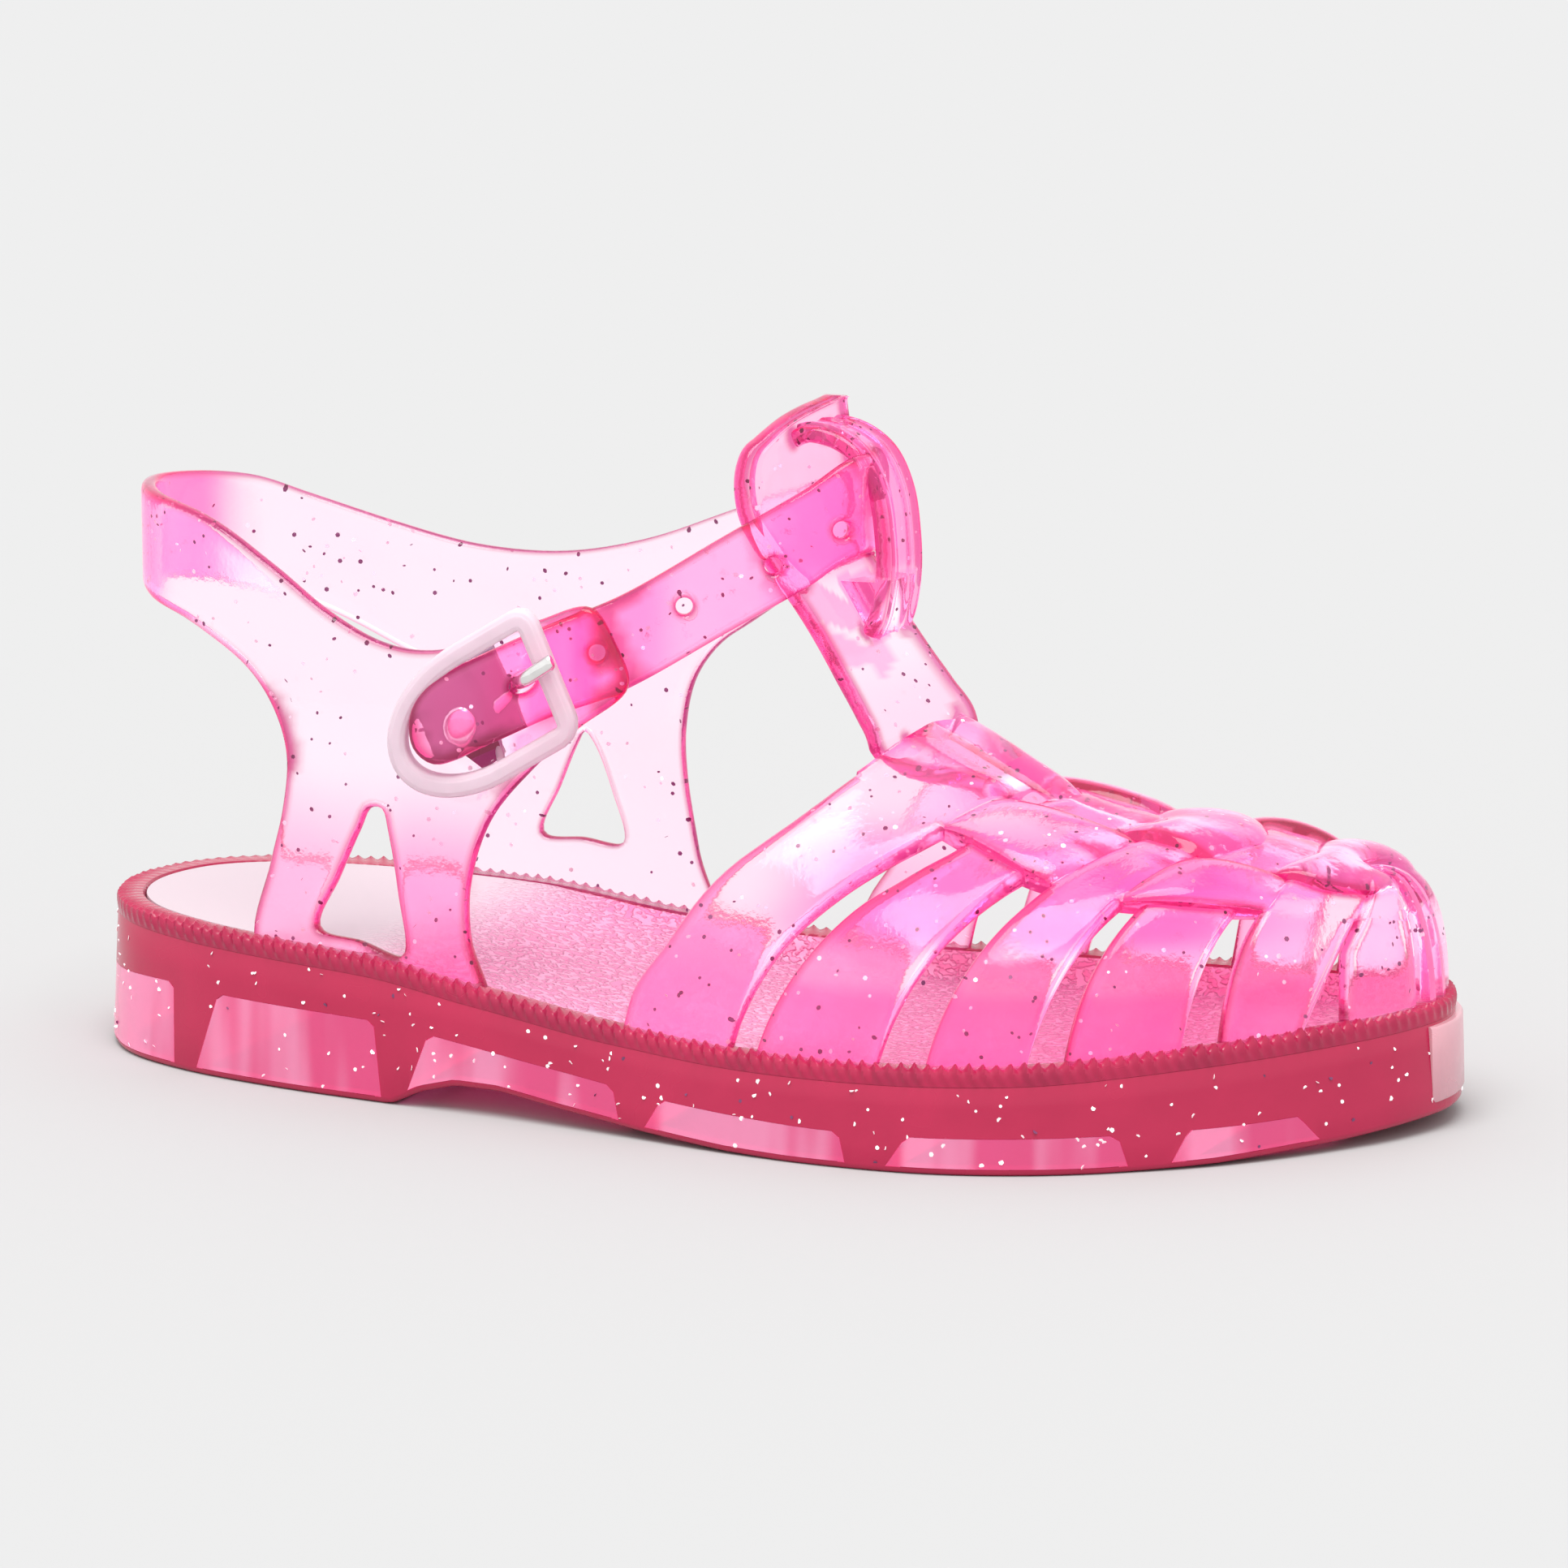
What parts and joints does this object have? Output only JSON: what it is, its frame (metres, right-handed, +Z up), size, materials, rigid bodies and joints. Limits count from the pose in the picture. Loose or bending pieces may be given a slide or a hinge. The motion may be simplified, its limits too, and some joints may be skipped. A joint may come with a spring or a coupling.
{
  "type": "jelly fisherman sandal",
  "caption": "Child's translucent pink glitter jelly sandal with woven closed toe, T-bar with strap loop, open heel and buckled ankle strap on a hollow-ribbed sole.",
  "frame": {"origin": "on the floor under the middle of the bounding box", "axes": "+X towards the toe, +Y towards the inner (medial) side of the foot, +Z up"},
  "size_m": [0.1672, 0.0696, 0.083],
  "materials": {
    "sole": "translucent crimson-pink jelly with glitter",
    "insole": "pale translucent footbed, grained at the forefoot",
    "upper": "translucent pink jelly with glitter",
    "buckle_frame": "frosted translucent white",
    "buckle_prong": "polished wire"
  },
  "bodies": {
    "root": {"sole": "sole", "insole": "insole", "upper": "upper", "buckle_frame": "buckle_frame", "buckle_prong": "buckle_prong"}
  },
  "joints": []
}
